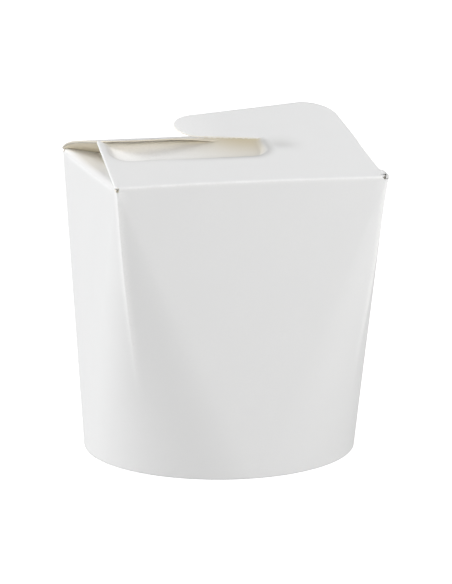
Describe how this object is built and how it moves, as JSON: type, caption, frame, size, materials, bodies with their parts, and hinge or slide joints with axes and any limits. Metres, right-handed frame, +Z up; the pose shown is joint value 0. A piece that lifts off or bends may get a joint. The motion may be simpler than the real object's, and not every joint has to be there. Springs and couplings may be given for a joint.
{
  "type": "noodle takeaway box",
  "caption": "Shut white paperboard noodle box, round at the foot and square at the top, with creased corners and interlocking hooked flaps.",
  "frame": {"origin": "middle of the foot ring, on the surface that the box stands on", "axes": "+Z up, -Y towards the front panel whose flap lies on top, +X to the right as the front is faced"},
  "size_m": [0.094, 0.094, 0.1162],
  "materials": {
    "carton_board": "matte",
    "base_board": "matte"
  },
  "bodies": {
    "root": {"carton": "carton_board", "base_disc": "base_board"}
  },
  "joints": []
}
